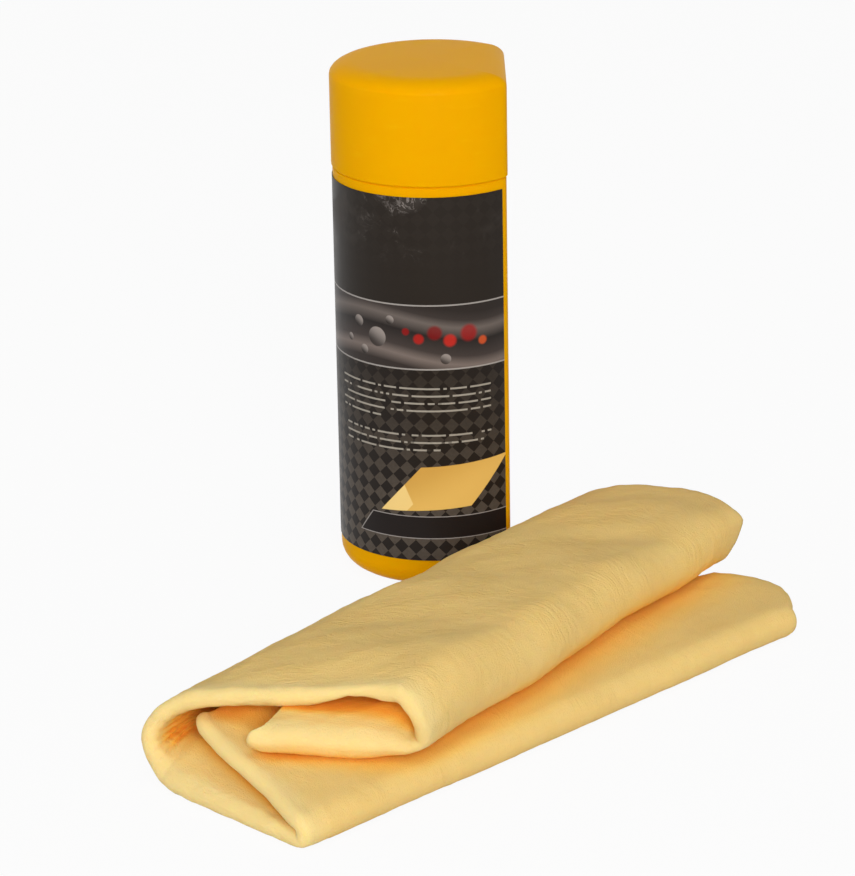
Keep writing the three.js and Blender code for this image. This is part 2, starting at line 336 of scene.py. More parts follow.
def smooth_copy(node, name, material, body):
    mesh = nodes[node].data.copy()
    mesh.name = name
    piece = bpy.data.objects.new(name, mesh)
    bpy.context.scene.collection.objects.link(piece)
    edit_all(piece)
    bpy.ops.mesh.customdata_custom_splitnormals_clear()
    bpy.ops.mesh.remove_doubles(threshold=MERGE_DISTANCE)
    bpy.ops.mesh.tris_convert_to_quads()
    bpy.ops.object.mode_set(mode="OBJECT")
    bpy.ops.object.shade_smooth_by_angle(angle=SMOOTH_ANGLE)
    mesh.materials.clear()
    mesh.materials.append(material)
    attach(piece, body)
    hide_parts(node)
    print(name, len(mesh.polygons), "faces")
    return piece


smooth_copy("canister_body", "canister_tube", plastic, "canister")
cap = smooth_copy("push_cap", "canister_cap", plastic, "cap")
cap_rim = min(vertex.co.z for vertex in cap.data.vertices)
for vertex in cap.data.vertices:
    if vertex.co.z < cap_rim + RIM_EDGE:
        vertex.co.z -= SEAM_CLOSE
print("seam closed by", SEAM_CLOSE * 1000, "mm")

# %% [markdown]
# The label is a printed film round the curved side, with a generic print. An image could be wrapped
# round it, but plain shapes made by nodes stay sharp at any size. The film is laid out flat in
# millimetres, across from its right end and up from the floor, so each shape is plain geometry on
# those two values.

# %% Label plan
LABEL_RADIUS_MM = 33.45
LABEL_MARGIN = 0.0002
film = Finish("label_film")
film_place = film.node("ShaderNodeTexCoord").out("Object")
from_axis = {0: film_place, 1: (axis_x, axis_y, 0)}
centred = film.node("ShaderNodeVectorMath", {"operation": "SUBTRACT"}, from_axis).out()
parts = film.node("ShaderNodeSeparateXYZ", None, {0: centred})
corner_angle = math.acos((FLAT_DISTANCE - CORNER_RADIUS) / (TUBE_RADIUS - CORNER_RADIUS))
label_start = corner_angle + LABEL_MARGIN / TUBE_RADIUS
round_angle = parts.out("Y").maths("ARCTAN2", parts.out("X"))
from_start = (round_angle * -1.0 - label_start).maths("FLOORED_MODULO", 2 * math.pi)
across = from_start * LABEL_RADIUS_MM
up = parts.out("Z") * 1000.0


def within(value, low, high, soft=0.12):
    return film.fade(value, low - soft, low + soft) * (1.0 - film.fade(value, high - soft, high + soft))


def line(value, at, width):
    return within(value, at - width / 2, at + width / 2, 0.08)


def from_point(middle, height):
    offset = film.node("ShaderNodeCombineXYZ", None, {0: across - middle, 1: up - height}).out()
    return film.node("ShaderNodeVectorMath", {"operation": "LENGTH"}, {0: offset}).out("Value")


print("label starts", round(math.degrees(label_start), 1), "degrees from the flat side")

# %% [markdown]
# The ground is a diamond checker on near black. Two sloping stripes are counted, and where their sum
# is odd the diamond is grey. It is strong at the foot, where the print shows it best, and all but
# gone in the field above the band.

# %% Diamond ground
DIAMOND = 5.1
BAND = (78.4, 100.6)
first = ((across + up) / DIAMOND).maths("FLOOR")
second = ((across - up) / DIAMOND).maths("FLOOR")
odd = (first + second).maths("FLOORED_MODULO", 2.0)
worn = film.noise(film_place, 900.0, 3.0, 0.6)
fading = film.fade(up, 80.0, 22.0) * 0.75 + 0.25
ground = film.mix(odd * fading * (worn * 0.5 + 0.5), rgb(33, 27, 23), rgb(88, 79, 70))
top_odd = odd * film.fade(up, 100.0, 137.0) * 0.05
top_field = film.mix(top_odd, rgb(38, 32, 27), rgb(80, 73, 66))
above_band = film.fade(up, BAND[1] - 0.1, BAND[1] + 0.1)
print_colour = film.mix(above_band, ground, top_field)
print("diamonds of", DIAMOND, "mm")

# %% [markdown]
# Where a label has its small print there are rows of dashes here. Each row is cut into cells, and a
# random value for each cell leaves some of them out, which gives groups like words.

# %% Rows of dashes
DASH_CELL = 1.15
ROW_SHIFT = 61.7
DASH_HEIGHT = 0.62
DASH_ROWS = (
    (71.6, 6.0, 64.0), (69.0, 6.0, 64.0), (66.4, 6.0, 64.0), (63.8, 6.0, 64.0),
    (61.2, 44.0, 64.0), (55.2, 6.0, 62.0), (52.6, 9.0, 62.0), (50.0, 24.0, 62.0),
)
dashes = None
for number, (height, low, high) in enumerate(DASH_ROWS):
    cell = (across / DASH_CELL + number * ROW_SHIFT).maths("FLOOR")
    chance = film.node("ShaderNodeTexWhiteNoise", {"noise_dimensions": "1D"}, {"W": cell}).out("Value")
    dash = line(up, height, DASH_HEIGHT) * within(across, low, high) * film.fade(chance, 0.16, 0.20)
    dashes = dash if dashes is None else dashes + dash
print_colour = film.mix(dashes * 0.55, print_colour, rgb(202, 194, 180))
print(len(DASH_ROWS), "rows of dashes")

# %% [markdown]
# The band across the middle is dark metal with soft highlights. A colour ramp from its lower to its
# upper edge, swayed by a sine, makes the shimmer. Red lights out of focus are soft discs, and water
# drops are sharper ones that are shaded across.

# %% Metallic band
METAL = (
    (0.0, rgb(52, 45, 42)), (0.16, rgb(118, 106, 100)), (0.30, rgb(64, 56, 53)), (0.55, rgb(38, 33, 31)),
    (0.74, rgb(104, 95, 90)), (0.86, rgb(58, 51, 48)), (1.0, rgb(44, 38, 35)),
)
RED_LIGHTS = (
    (14.0, 90.6, 3.6, rgb(150, 20, 20)), (20.5, 88.4, 2.7, rgb(196, 40, 30)),
    (25.6, 91.2, 3.1, rgb(122, 14, 16)), (31.0, 89.0, 2.2, rgb(176, 30, 24)),
    (9.0, 87.4, 1.9, rgb(206, 84, 40)), (35.4, 91.4, 1.6, rgb(140, 18, 18)),
)
DROPS = (
    (46.0, 88.5, 3.4), (54.0, 92.6, 2.0), (41.0, 95.0, 1.5),
    (58.5, 86.0, 1.3), (22.0, 82.0, 1.8), (51.5, 83.2, 1.6),
)
DROP_EDGE = 0.12
BORDER = 0.5
tall = (up - BAND[0]) / (BAND[1] - BAND[0])
sway = (across * 0.075 + 0.9).maths("SINE") * 0.13
shine = film.node("ShaderNodeValToRGB", {"stops": METAL}, {"Fac": tall + sway}).out()
for middle, height, size, red in RED_LIGHTS:
    disc = 1.0 - film.fade(from_point(middle, height), size * 0.55, size)
    shine = film.mix(disc * 0.8, shine, red)
for middle, height, size in DROPS:
    drop = 1.0 - film.fade(from_point(middle, height), size - DROP_EDGE, size + DROP_EDGE)
    lit = film.fade((across - middle) * 0.5 - (up - height), -size, size)
    shine = film.mix(drop * 0.8, shine, film.mix(lit, rgb(160, 150, 144), rgb(40, 35, 33)))
print_colour = film.mix(within(up, BAND[0], BAND[1]), print_colour, shine)
borders = line(up, BAND[0], BORDER) + line(up, BAND[1], BORDER)
print_colour = film.mix(borders * 0.75, print_colour, rgb(176, 170, 165))
print("band from", BAND[0], "to", BAND[1], "mm up")

# %% [markdown]
# Below the dashes lie a cream swatch, as a slanted panel with a turned corner, and a dark banner with
# a thin pale outline and a slanted end. The outline is the whole banner in the pale colour, with a
# smaller dark one laid over it.

# %% Swatch and banner
SWATCH = (8.0, 38.0)
SWATCH_UP = (28.8, 44.2)
SWATCH_MIDDLE = (25.0, 36.0)
SWATCH_LEAN = 0.9
SWATCH_TILT = 0.06
TURNED_FROM = 29.0
TURNED_UP = (20.0, 30.6)
TURNED_SLOPE = 0.75
BANNER = (18.3, 26.4)
BANNER_END = 55.5
BANNER_SLANT = 0.75
OUTLINE = 0.3
lean = across + (up - SWATCH_MIDDLE[1]) * SWATCH_LEAN
swatch = within(lean, *SWATCH) * within(up + (across - SWATCH_MIDDLE[0]) * SWATCH_TILT, *SWATCH_UP)
shade = film.fade(lean + up, 48.0, 82.0)
print_colour = film.mix(swatch, print_colour, film.mix(shade, rgb(228, 184, 96), rgb(206, 158, 74)))
turned_up = within(up - (lean - TURNED_FROM) * TURNED_SLOPE, *TURNED_UP)
turned_corner = within(lean, TURNED_FROM, SWATCH[1]) * turned_up * swatch
print_colour = film.mix(turned_corner, print_colour, rgb(240, 206, 130))
slanted = across + (up - BANNER[0]) * BANNER_SLANT


def banner(inset):
    end = BANNER_END - inset * 1.3
    return within(up, BANNER[0] + inset, BANNER[1] - inset, 0.06) * film.fade(slanted, end, end - 0.2)


print_colour = film.mix(banner(0.0), print_colour, rgb(150, 144, 140))
print_colour = film.mix(banner(OUTLINE), print_colour, rgb(30, 24, 22))
print("banner from", BANNER[0], "to", BANNER[1], "mm up")

# %% [markdown]
# A label that has been handled has rubbed patches and fine scratches near its top. The scratches are
# the thin lines where a noise passes its middle value. The film is a soft sheen over print, with
# slight wrinkles from the way that it was laid on.

# %% Label film
SCRATCHED = (14.0, 50.0)
smudge = film.fade(film.noise(film_place, 60.0, 3.0, 0.6, 0.8), 0.50, 0.66) * film.fade(up, 114.0, 130.0)
veins = (film.noise(film_place, 130.0, 5.0, 0.62, 1.4) - 0.5).maths("ABSOLUTE")
scratches = film.fade(veins, 0.03, 0.004) * smudge * film.noise(film_place, 700.0, 2.0, 0.6)
scratches = scratches * within(across, *SCRATCHED, 6.0)
print_colour = film.mix(smudge * 0.04 + scratches * 0.6, print_colour, rgb(186, 176, 170))
wrinkle = film.noise(film_place, 160.0, 2.0, 0.5)
film_shader = film.node("ShaderNodeBsdfPrincipled", None, {
    "Base Color": print_colour,
    "Roughness": wrinkle * 0.12 + smudge * 0.12 + 0.32,
    "Normal": film.bump(wrinkle, 0.00012, 0.4),
    "Specular IOR Level": 0.11,
})
label_film = film.surface(film_shader.out())
smooth_copy("printed_label", "canister_label", label_film, "canister")

# %% [markdown]
# The cloth is one sheet, 430 by 320 mm. It is doubled by a fold across its length, which makes the
# soft rolled end at the left, and the doubled layer is then folded lengthwise. Its section starts at
# the front flap's edge, turns round the front fold, runs along the floor, rises over the spine, comes
# forward on top, curls under and ends in an inner flap. The two ends of the bundle are folded a little
# differently, so every value is blended from the left end to the right end.

# %% Cloth measures
CLOTH_LENGTH = 430.0
CLOTH_WIDTH = 320.0
CLOTH_THICKNESS = 2.3
PLY_GAP = 0.5
LAYER_GAP = 0.4
CREASE_SHARE = 0.047
FRONT_EDGE_EXTRA = 5.0
CLOTH_TURN = math.radians(43.4)
CLOTH_FROM_AXIS = (-191.6, -141.85)
LEFT_END = {
    "front_start": -3.8, "front_flap": 0.181, "front_flap_rise": 11.4, "front_flap_swing": (11.5, 6.0),
    "tuck": 0.0, "base_run": 0.176, "base_swing": 0.0, "air": 9.6, "spine_turn": 140.0,
    "crown_radius": 22.5, "crown_turn": 34.3, "spine_swing": (-20.0, 28.5),
    "top_run": 0.194, "top_swing": 46.7, "curl_lift": 2.8,
    "inner_flap_rise": 9.0, "inner_flap_swing": 55.3,
}
RIGHT_END = {
    "front_start": 3.5, "front_flap": 0.13, "front_flap_rise": 0.5, "front_flap_swing": (60.0, -48.0),
    "tuck": 0.07, "base_run": 0.28, "base_swing": 5.3, "air": 7.2, "spine_turn": 140.0,
    "crown_radius": 23.0, "crown_turn": 40.0, "spine_swing": (39.0, 42.0),
    "top_run": 0.127, "top_swing": -12.0, "curl_lift": 3.0,
    "inner_flap_rise": 2.0, "inner_flap_swing": 40.0,
}
COLUMNS = {
    "front_flap": 26, "front_fold": 12, "base": 22, "spine": 42,
    "crown": 14, "top": 30, "curl": 28, "inner_flap": 24,
}
half_layer = CLOTH_THICKNESS + PLY_GAP / 2
ply_offset = (CLOTH_THICKNESS + PLY_GAP) / 2
layer_step = 2 * half_layer + LAYER_GAP
span = CLOTH_LENGTH / 2 + FRONT_EDGE_EXTRA
print("doubled layer of", 2 * half_layer, "mm,", span, "mm long")

# %% [markdown]
# The section is a chain of runs, as a paper fold is: each has a length and a turn, and a swing to the
# side because the cloth was folded askew. The radius of every turn follows from the layers that it
# goes round, and what is left of the sheet's width is the inner flap.

# %% Runs of the fold
def fold_runs(share):
    """Runs of the section at a share of the way along: length, turn, swings and columns."""
    fold = {}
    for name, left in LEFT_END.items():
        blended = np.array(left) + (np.array(RIGHT_END[name]) - np.array(left)) * share
        fold[name] = np.radians(blended) if name.endswith(("swing", "turn", "rise")) else blended
    fold_radius = half_layer + LAYER_GAP
    front_turn = math.pi - fold["front_flap_rise"]
    top_heading = fold["spine_turn"] + fold["crown_turn"]
    crown_height = half_layer + 3 * layer_step + fold["air"]
    crown_rise = fold["crown_radius"] * (math.cos(fold["spine_turn"]) - math.cos(top_heading))
    spine_radius = (crown_height - half_layer - crown_rise) / (1 - math.cos(fold["spine_turn"]))
    crown_run = fold["crown_radius"] * fold["crown_turn"]
    top_run = fold["top_run"] * CLOTH_WIDTH
    flap_heading = 2 * math.pi + fold["inner_flap_rise"]
    flap_height = half_layer + 2 * fold_radius + fold["curl_lift"] + layer_step
    curl_drop = crown_height + top_run * math.sin(top_heading) - flap_height
    curl_radius = curl_drop / (math.cos(flap_heading) - math.cos(top_heading))
    curl_turn = flap_heading - top_heading
    spine, top, inner = fold["spine_swing"], fold["top_swing"], fold["inner_flap_swing"]
    front = [
        (fold_radius * front_turn, -front_turn, (0.0, 0.0), COLUMNS["front_fold"]),
        (fold["front_flap"] * CLOTH_WIDTH, 0.0, fold["front_flap_swing"], COLUMNS["front_flap"]),
    ]
    back = [
        (fold["base_run"] * CLOTH_WIDTH, 0.0, (fold["base_swing"], fold["base_swing"]), COLUMNS["base"]),
        (spine_radius * fold["spine_turn"], fold["spine_turn"], -spine, COLUMNS["spine"]),
        (crown_run, fold["crown_turn"], (-spine[1], -spine[1]), COLUMNS["crown"]),
        (top_run, 0.0, (-spine[1], -top), COLUMNS["top"]),
        (curl_radius * curl_turn, curl_turn, (-top, -inner), COLUMNS["curl"]),
    ]
    used = sum(run[0] for run in front + back)
    left_over = CLOTH_WIDTH * (1 - CREASE_SHARE - fold["tuck"]) - used
    back.append((left_over, 0.0, (-inner, -inner), COLUMNS["inner_flap"]))
    start = (share * span, fold["front_start"] + fold_radius, half_layer)
    return np.array(start), front, back


print("inner flap of", round(fold_runs(0.0)[2][-1][0], 1), "mm at the left end")

# %% [markdown]
# A path is drawn along the runs in small steps. Foam can't bend at a point, so headings are averaged
# over a few millimetres to both sides before the path is drawn, and every bend starts softly.

# %% Path of the section
STEPS = 5
FRONT_EASE = 1.2
BEND_EASE = 3.5


def eased(values, lengths, reach):
    """Values along a path, each averaged over a reach to both sides, so that bends start softly."""
    ends = np.concatenate([[0.0], np.cumsum(lengths)])
    sums = np.concatenate([[0.0], np.cumsum(values * lengths)])
    middles = (ends[1:] + ends[:-1]) / 2

    def summed(at):
        before = np.minimum(at, 0.0) * values[0]
        after = np.maximum(at - ends[-1], 0.0) * values[-1]
        return np.interp(at, ends, sums) + before + after
    return (summed(middles + reach) - summed(middles - reach)) / (2 * reach)


def follow(start, heading, runs, reach):
    """Places along the runs, one for each column."""
    rises, swings, lengths = [], [], []
    for length, turned, swing, columns in runs:
        count = columns * STEPS
        share = (np.arange(count) + 0.5) / count
        rises.append(heading + turned * share)
        swings.append(swing[0] + (swing[1] - swing[0]) * share)
        lengths.append(np.full(count, length / count))
        heading += turned
    lengths = np.concatenate(lengths)
    rise = eased(np.concatenate(rises), lengths, reach)
    swing = eased(np.concatenate(swings), lengths, reach)
    flat = np.cos(rise) * lengths
    steps = np.stack([flat * np.sin(swing), flat * np.cos(swing), np.sin(rise) * lengths], axis=1)
    return (start + np.cumsum(steps, axis=0))[STEPS - 1::STEPS], np.cumsum(lengths)[STEPS - 1::STEPS]


def section(share):
    """The middle of the doubled layer at one station, and each column's distance along the sheet."""
    start, front, back = fold_runs(share)
    front_places, front_lengths = follow(start, math.pi, front, FRONT_EASE)
    back_places, back_lengths = follow(start, 0.0, back, BEND_EASE)
    places = np.concatenate([front_places[::-1], [start], back_places])
    lengths = np.concatenate([-front_lengths[::-1], [0.0], back_lengths])
    return places, lengths - lengths[0]


print("section of", len(section(0.0)[1]), "places")

# %% [markdown]
# Sections at many stations make a grid over the whole bundle. The stations lie close together at the
# rolled left end, and both they and the columns crowd at the cut edges, so that an edge of foam can be
# rounded there.

# %% Stations
ROLL_PART = 12.0
EDGE_STEPS = np.array([0.0, 0.12, 0.35, 0.75, 1.3])
EDGE_COLUMNS = np.array([0.0, 0.06, 0.18, 0.35, 0.6])
stations = np.concatenate([
    np.arange(0.0, ROLL_PART, 0.8), np.arange(ROLL_PART, span - 3.0, 2.8), (span - EDGE_STEPS)[::-1],
]) / span
sections = [section(share) for share in stations]
middle = np.array([places for places, lengths in sections])
sheet_across = np.array([lengths for places, lengths in sections])
column_count = sheet_across.shape[1]
column_place = np.concatenate([
    EDGE_COLUMNS, np.arange(1.0, column_count - 1), column_count - 1 - EDGE_COLUMNS[::-1],
])
before = np.minimum(column_place.astype(int), column_count - 2)
step = column_place - before
middle = middle[:, before] * (1 - step)[None, :, None] + middle[:, before + 1] * step[None, :, None]
sheet_across = sheet_across[:, before] * (1 - step) + sheet_across[:, before + 1] * step
print("fold of", middle.shape[0], "stations and", middle.shape[1], "columns")

# %% [markdown]
# A folded sheet of foam is never quite even. Sculpting would give that by hand, and a few soft shapes
# in code give it the same way each time: sine waves in random directions, a bell for one swelling, a
# ramp from 0 to 1, and a plateau that comes and goes.

# %% Soft shapes
WAVES = {
    "stack": (0.026, 90.0, 5, 11), "stack_fine": (0.010, 34.0, 6, 12), "end": (0.6, 60.0, 4, 13),
    "front": (0.4, 55.0, 5, 14), "puff": (0.35, 40.0, 4, 15), "ripple": (0.10, 11.0, 8, 21),
    "ripple_fine": (0.06, 7.0, 8, 22),
}
EDGE_LEAST = 0.3


def waves(name, first, second):
    """A smooth unevenness: its size, longest wave, number of waves and seed are in the table."""
    size, longest, count, seed = WAVES[name]
    draw = np.random.default_rng(seed)
    total = 0.0
    for _ in range(count):
        angle = draw.uniform(0, 2 * math.pi)
        length = longest * draw.uniform(0.5, 1.0)
        phase = draw.uniform(0, 2 * math.pi)
        distance = math.cos(angle) * first + math.sin(angle) * second
        total = total + np.sin(2 * math.pi / length * distance + phase)
    return size * (total / math.sqrt(count))


def bell(value, at, width):
    return np.exp(-(((value - at) / width) ** 2))


def ramp(value, low, high):
    share = np.clip((value - low) / (high - low), 0, 1)
    return share * share * (3 - 2 * share)


def plateau(value, low, full, fading, gone):
    return ramp(value, low, full) * (1 - ramp(value, fading, gone))


def rounded(distance, radius):
    """Share of the height that is left at a distance from an edge of this radius."""
    inside = np.clip(1 - distance / radius, 0, 1)
    return np.maximum(np.sqrt(1 - inside ** 2), EDGE_LEAST)


def unit(vectors):
    return vectors / np.linalg.norm(vectors, axis=-1, keepdims=True)


print(len(WAVES), "kinds of waves")

# %% [markdown]
# Every spot of the grid is known by how far it lies from the left end, and by its run: 0 is the front
# flap's edge, 1 the front fold, 2 the base, 3 the spine, 4 the crown, 5 the top, 6 the curl and 7 the
# inner flap, which ends at 8. Below, RUNS are such places along the section, AT is a place across the
# sheet with a width in millimetres, and REACH and PART are distances from an end. The right end isn't
# cut off square: each run ends a little sooner or later than the next one, and the front flap droops
# there over the layer below it.

# %% Right end of the cloth
END_REACH = 45.0
END_SHIFTS = (
    (0.0, 2.0), (0.45, 1.5), (0.7, 1.4), (0.84, 2.2), (0.96, 3.4), (1.15, 2.0), (1.4, 1.4), (2.0, 0.4),
    (2.3, -3.0), (3.6, -3.0), (4.3, -2.0), (4.8, 0.4), (5.3, 1.6), (5.7, 0.6), (5.93, -1.6),
    (6.15, -2.4), (6.35, -1.4), (6.5, -5.0), (6.7, -9.6), (7.0, -12.5), (7.4, -15.0), (8.0, -18.0),
)
FLAP_DROOP = 0.8
DROOP_REACH = 14.0
DROOP_RUNS = (0.8, 1.6)
FRONT_DRAW = 0.9
FRONT_DRAW_FROM = 60.0
FRONT_DRAW_DEEP = 45.0
CURL_FULLNESS = 4.6
FULL_REACH = 80.0
FULL_RUN = (6.95, 0.42)
x, y, z = middle[..., 0], middle[..., 1], middle[..., 2]
far = stations * span
run_ends = np.concatenate([[0], np.cumsum(list(COLUMNS.values()))])
run_place = np.interp(column_place, run_ends, np.arange(len(run_ends)))
end_shift = np.interp(run_place, *zip(*END_SHIFTS))[None, :] * ramp(far, span - END_REACH, span)[:, None]
on_flap = 1 - ramp(run_place, *DROOP_RUNS)
droop = FLAP_DROOP * (ramp(far, span - DROOP_REACH, span) ** 2)[:, None] * on_flap[None, :]
drawn_in = FRONT_DRAW * ramp(far, FRONT_DRAW_FROM, span)[:, None] * (1 - ramp(y, 0.0, FRONT_DRAW_DEEP))
full = CURL_FULLNESS * ramp(far, span - FULL_REACH, span)[:, None] * bell(run_place, *FULL_RUN)[None, :]
print("right end shifted by", round(end_shift.min(), 1), "to", round(end_shift.max(), 1), "mm")

# %% [markdown]
# At the left end the curl swells out, the nose of the roll is pushed in and drops, the inner flap
# sags at its lip and rises behind it, and the top and the front flap loft up.

# %% Left end of the cloth
CURL_BULGE = 8.0
BULGE_AT = (238.0, 12.0)
BULGE_REACH = 22.0
NOSE_SHIFTS = (
    (66.0, 0.0), (80.0, -0.8), (125.0, -0.8), (133.0, -1.5),
    (140.0, -1.7), (147.0, 0.3), (156.0, 1.6), (176.0, 0.0),
)
NOSE_DROP = 1.4
DROP_AT = (158.0, 13.0)
DROP_REACH = 25.0
INNER_SAG = 1.2
SAG_RUNS = (6.9, 7.4)
SAG_REACH = 20.0
INNER_LIFT = 2.8
LIFT_RUNS = (7.3, 8.0)
LIFT_PART = (0.0, 20.0, 50.0, 110.0)
TOP_LOFT = 2.8
TOP_RUNS = (4.5, 5.3, 5.9, 6.5)
FLAP_LOFT = 0.8
FLAP_RUNS = (0.7, 1.3)
CROWN_REACH = 11.0
LOFT_FADES = 90.0
left_across = sheet_across[0]


def near_left(reach):
    return np.exp(-far / reach)[:, None]


bulge = CURL_BULGE * bell(left_across, *BULGE_AT) - np.interp(left_across, *zip(*NOSE_SHIFTS))
bulge = bulge[None, :] * near_left(BULGE_REACH)
dropped = NOSE_DROP * bell(left_across, *DROP_AT)[None, :] * near_left(DROP_REACH)
sagged = INNER_SAG * ramp(run_place, *SAG_RUNS)[None, :] * near_left(SAG_REACH)
raised = INNER_LIFT * ramp(run_place, *LIFT_RUNS)[None, :] * plateau(far, *LIFT_PART)[:, None]
lofted = TOP_LOFT * plateau(run_place, *TOP_RUNS) + FLAP_LOFT * (1 - ramp(run_place, *FLAP_RUNS))
loft_part = (1 - bell(far, 0.0, CROWN_REACH)) * (1 - ramp(far, LOFT_FADES, span))
lofted = lofted[None, :] * loft_part[:, None]
print("left end swollen by up to", bulge.max().round(1), "mm")

# %% [markdown]
# The foam fills the folds from inside: one ply of the base, of the inner flap and of the front flap is
# raised there, most near the left end. The cut corners of the roll are drawn in a little.

# %% Filled folds
BASE_FILL = 8.0
BASE_FROM = 2.0
BASE_RUNS = (3.0, 3.8)
FLAP_FILL = 9.5
INNER_RUNS = (6.6, 7.05)
INNER_END = 8.05
INNER_FADE = 1.05
TUCK_FILL = 5.5
TUCK_RUNS = (0.12, 0.42)
TUCK_PART = (0.0, 24.0, 32.0, 60.0)
CORNER_DRAW = 2.6
CORNER_WIDTH = 6.0
CORNER_REACH = 9.0
fill = BASE_FILL * np.clip(run_place - BASE_FROM, 0, 1) * (1 - ramp(run_place, *BASE_RUNS))
inner_part = np.clip((INNER_END - run_place) / INNER_FADE, 0, 1)
fill = fill + FLAP_FILL * ramp(run_place, *INNER_RUNS) * inner_part
tucked = TUCK_FILL * (1 - ramp(run_place, *TUCK_RUNS))
tucked = tucked[None, :] * plateau(far, *TUCK_PART)[:, None]
from_edge = np.minimum(sheet_across, sheet_across[:, -1:] - sheet_across)
corner = CORNER_DRAW * np.clip(1 - from_edge / CORNER_WIDTH, 0, 1) ** 2 * near_left(CORNER_REACH)
print("folds filled by up to", fill.max().round(1), "mm")

# %% [markdown]
# Slow waves lift and lower the whole stack together, so its layers stay in order. Then the layer's
# own directions are found, and the foam puffs up where it rolls over at the left end.

# %% Unevenness of the cloth
PUFF = 0.13
PUFF_REACH = 10.0
INNER_PUFF = 0.50
INNER_PUFF_REACH = 14.0
INNER_PUFF_RUNS = (7.0, 7.35)
END_WAVE_HEIGHT = 12.0
FULL_SINK = 0.35
lift = waves("stack", x, y) + waves("stack_fine", x, y)
sunk = droop + full * FULL_SINK + dropped + (sagged - raised)
uneven = np.stack([
    x + corner + waves("end", y, z) * np.minimum(1, z / END_WAVE_HEIGHT) - bulge + end_shift,
    y + waves("front", x, z) + drawn_in - full,
    half_layer + (z - half_layer) * (1 + lift) + lofted - sunk,
], axis=-1)
along = unit(np.gradient(uneven, axis=1))
out = unit(np.cross(along, np.gradient(uneven, axis=0)))
endwards = unit(np.cross(along, out))
puff = PUFF * bell(far, 0.0, PUFF_REACH)[:, None] * (1 + waves("puff", sheet_across, 0 * x))
uneven = uneven - out * (puff * half_layer)[..., None]
inner_puff = ramp(run_place, *INNER_PUFF_RUNS)[None, :] * bell(far, 0.0, INNER_PUFF_REACH)[:, None]
puff = puff + 1 + INNER_PUFF * inner_puff
edge_radius = CLOTH_THICKNESS / 2
edge = np.minimum(rounded(from_edge, edge_radius), rounded((span - far)[:, None], edge_radius))
print("puffed by up to", round(puff.max() * 100 - 100), "percent")

# %% [markdown]
# Where the nose of the roll is squeezed, its inner face has sharp creases, the lip of the top has a
# tuck, and the curl has one crease. They are narrow bells on the inner face, deepest a little way in.

# %% Creases inside the folds
NOSE_CREASES = (
    (132.5, 1.2), (136.5, 1.7), (140.0, 1.0), (144.5, 1.9), (149.0, 1.3), (153.0, 1.6), (158.0, 0.9),
)
CREASE_WIDTH = 0.95
CREASE_LEAN = 0.10
CREASE_PART = (9.5, 7.0)
NOSE_SWELL = 0.35
SWELL_AT = (146.0, 14.0)
LIP_TUCK = 210.5
LIP_RISE = 2.3
LIP_PART = (LIP_TUCK - 14.0, LIP_TUCK, LIP_TUCK + 1.0, LIP_TUCK + 15.0)
LIP_REACH = 9.0
TUCK_DEPTH = 0.9
TUCK_AT = (LIP_TUCK + 0.6, 0.8)
CURL_CREASE = 1.3
CURL_CREASE_AT = (250.5, 1.3)
CURL_CREASE_REACH = 15.0


def inside_creases(distance):
    """Height of the inner face's creases at a distance from the left end."""
    fading = bell(distance, *CREASE_PART)
    height = NOSE_SWELL * bell(left_across, *SWELL_AT) * fading
    for at, depth in NOSE_CREASES:
        height = height - depth * fading * bell(left_across, at + CREASE_LEAN * distance, CREASE_WIDTH)
    tuck = LIP_RISE * plateau(left_across, *LIP_PART) + TUCK_DEPTH * bell(left_across, *TUCK_AT)
    crease = CURL_CREASE * bell(left_across, *CURL_CREASE_AT)
    in_curl = math.exp(-distance / CURL_CREASE_REACH)
    return height - bell(distance, 0.0, LIP_REACH) * tuck - in_curl * crease


print(len(NOSE_CREASES), "creases in the nose")

# %% [markdown]
# Each skin of the sheet is a grid of rows. The outer ply's rows run from the cut end at the right to
# the left, the roll's rows turn over there, and the inner ply's rows run back. A row's length on the
# flat sheet runs on evenly through the roll, so ripples and wrinkles cross it without a break.

# %% Rows of the cloth
ROLL_ROWS = 10
ROLL_RADIUS = 5.0
FILL_REACH = 20.0
FILL_FADES = (60.0, 140.0)
RIPPLE_STRETCH = 2.5
FOLD_CALM = 0.5
FOLD_RUN = (1.5, 0.7)
PLY_STEPS = (1.3, 3.4)
PLY_REACH = 60.0
EDGE_PULL = 30.0
END_CLOSE = 2.6
CLOSE_REACH = 30.0
QUARTER = math.pi / 2
last = len(stations) - 1
turns = np.linspace(0, math.pi, ROLL_ROWS + 1)
ripple_share = 1 - FOLD_CALM * bell(run_place, *FOLD_RUN)


